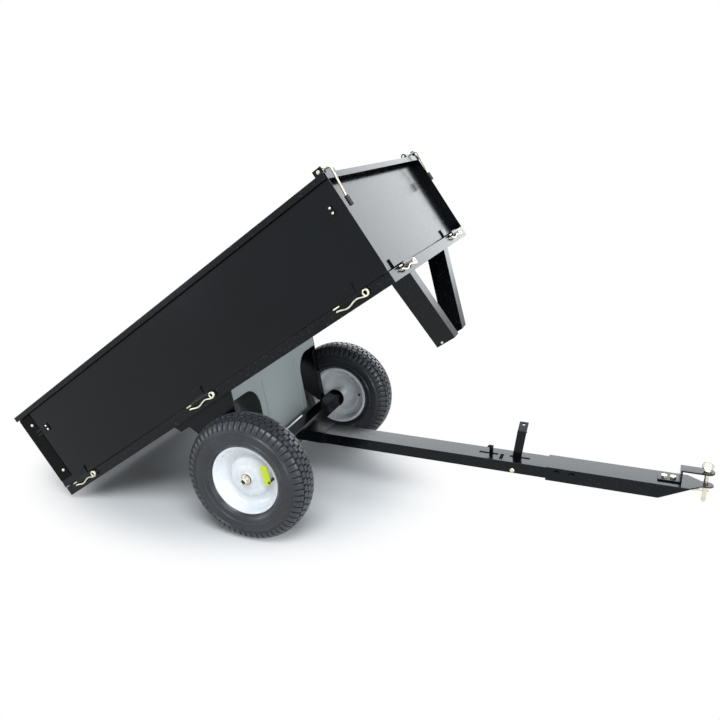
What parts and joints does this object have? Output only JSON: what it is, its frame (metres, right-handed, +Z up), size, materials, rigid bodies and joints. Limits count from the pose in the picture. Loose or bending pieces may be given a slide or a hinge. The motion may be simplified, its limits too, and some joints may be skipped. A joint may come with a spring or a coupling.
{
  "type": "tipping dump cart",
  "caption": "Tow-behind tipping cart: a steel tub with fold-down walls and lift-out tailgate pivots on its wheeled axle and latches to a drawbar with a pin hitch.",
  "frame": {"origin": "on the ground under the middle of the cart's box, with the tub tipped", "axes": "+X towards the hitch, +Y to the left of travel, +Z up"},
  "size_m": [2.1608, 0.831, 1.1069],
  "materials": {
    "black_gloss": "gloss black powder coat",
    "black_satin": "satin black paint",
    "grey_paint": "satin grey paint",
    "zinc_plate": "bright zinc plate with a pale yellow cast",
    "white_enamel": "gloss white enamel",
    "tyre_rubber": "matt black rubber with a block tread",
    "black_rubber": "smooth black rubber",
    "bush_nylon": "black nylon"
  },
  "bodies": {
    "chassis": {"axle_shaft": "zinc_plate", "axle_beam": "black_gloss", "axle_washers": "zinc_plate", "axle_pins": "zinc_plate", "drawbar_socket": "black_gloss", "drawbar_rear": "black_gloss", "drawbar_front": "black_gloss", "drawbar_bolts": "black_gloss", "hitch_strap": "black_gloss", "hitch_bolts": "zinc_plate", "latch_pivot_bolt": "zinc_plate", "latch_spring": "zinc_plate"},
    "tub": {"floor_pan": "black_gloss", "bracket_left": "black_gloss", "bracket_right": "black_gloss", "saddle_plates": "grey_paint", "leg_left": "black_gloss", "leg_right": "black_gloss", "latch_pin": "zinc_plate", "hinge_lugs_left": "black_gloss", "hinge_lugs_right": "black_gloss", "hinge_lugs_front": "black_gloss", "hinge_clips_left": "zinc_plate", "hinge_clips_right": "zinc_plate", "hinge_clips_front": "zinc_plate"},
    "side_wall_left": {"side_panel_left": "black_gloss", "end_strip_left": "black_satin", "tailgate_guide_left": "black_gloss", "strip_bolts_left": "zinc_plate", "keepers_left": "black_gloss", "keeper_rivets_left": "zinc_plate"},
    "side_wall_right": {"side_panel_right": "black_gloss", "end_strip_right": "black_satin", "tailgate_guide_right": "black_gloss", "strip_bolts_right": "zinc_plate", "keepers_right": "black_gloss", "keeper_rivets_right": "zinc_plate"},
    "front_wall": {"front_panel": "black_gloss", "bolt_barrel_left": "black_gloss", "bolt_barrel_right": "black_gloss"},
    "tailgate": {"tailgate": "black_gloss"},
    "corner_bolt_left": {"corner_bolt_left": "zinc_plate", "bolt_handle_left": "zinc_plate", "bolt_grip_left": "black_rubber"},
    "corner_bolt_right": {"corner_bolt_right": "zinc_plate", "bolt_handle_right": "zinc_plate", "bolt_grip_right": "black_rubber"},
    "latch": {"latch_lever": "black_gloss"},
    "hitch_pin": {"hitch_pin": "zinc_plate"},
    "hitch_clip": {"hitch_clip": "zinc_plate"},
    "wheel_left": {"tyre_left": "tyre_rubber", "rim_left": "white_enamel", "hub_left": "white_enamel", "bush_left": "bush_nylon", "valve_left": "black_rubber"},
    "wheel_right": {"tyre_right": "tyre_rubber", "rim_right": "white_enamel", "hub_right": "white_enamel", "bush_right": "bush_nylon", "valve_right": "black_rubber"}
  },
  "joints": [
    {"name": "tub_tip", "type": "hinge", "parent": "chassis", "child": "tub", "pos_m": [-0.20964, 0, 0.2], "axis": [0, -1, 0], "range_deg": [-35.38, 0]},
    {"name": "wheel_left_spin", "type": "hinge", "parent": "chassis", "child": "wheel_left", "pos_m": [-0.20964, 0, 0.2], "axis": [0, 1, 0], "continuous": true},
    {"name": "wheel_right_spin", "type": "hinge", "parent": "chassis", "child": "wheel_right", "pos_m": [-0.20964, 0, 0.2], "axis": [0, 1, 0], "continuous": true},
    {"name": "side_left_fold", "type": "hinge", "parent": "tub", "child": "side_wall_left", "pos_m": [-0.91131, 0.397, 0.03783], "axis": [-0.8154, 0, -0.5789], "range_deg": [0, 90]},
    {"name": "side_right_fold", "type": "hinge", "parent": "tub", "child": "side_wall_right", "pos_m": [-0.91131, -0.397, 0.03783], "axis": [0.8154, 0, 0.5789], "range_deg": [0, 90]},
    {"name": "front_fold", "type": "hinge", "parent": "tub", "child": "front_wall", "pos_m": [0.24407, 0, 0.8582], "axis": [0, 1, 0], "range_deg": [0, 90]},
    {"name": "tailgate_slide", "type": "slide", "parent": "tub", "child": "tailgate", "axis": [-0.5789, 0, 0.8154], "range_m": [0, 0.29]},
    {"name": "corner_bolt_left_slide", "type": "slide", "parent": "front_wall", "child": "corner_bolt_left", "axis": [0, 1, 0], "range_m": [0, 0.012]},
    {"name": "corner_bolt_right_slide", "type": "slide", "parent": "front_wall", "child": "corner_bolt_right", "axis": [0, -1, 0], "range_m": [0, 0.012]},
    {"name": "latch_turn", "type": "hinge", "parent": "chassis", "child": "latch", "pos_m": [0.51936, 0, 0.187], "axis": [0, 1, 0], "range_deg": [-5, 12], "stiffness_Nm_per_rad": 3},
    {"name": "hitch_pin_lift", "type": "slide", "parent": "chassis", "child": "hitch_pin", "axis": [0, 0, 1], "range_m": [0, 0.015]},
    {"name": "hitch_clip_pull", "type": "slide", "parent": "hitch_pin", "child": "hitch_clip", "axis": [-1, 0, 0], "range_m": [0, 0.03]}
  ]
}
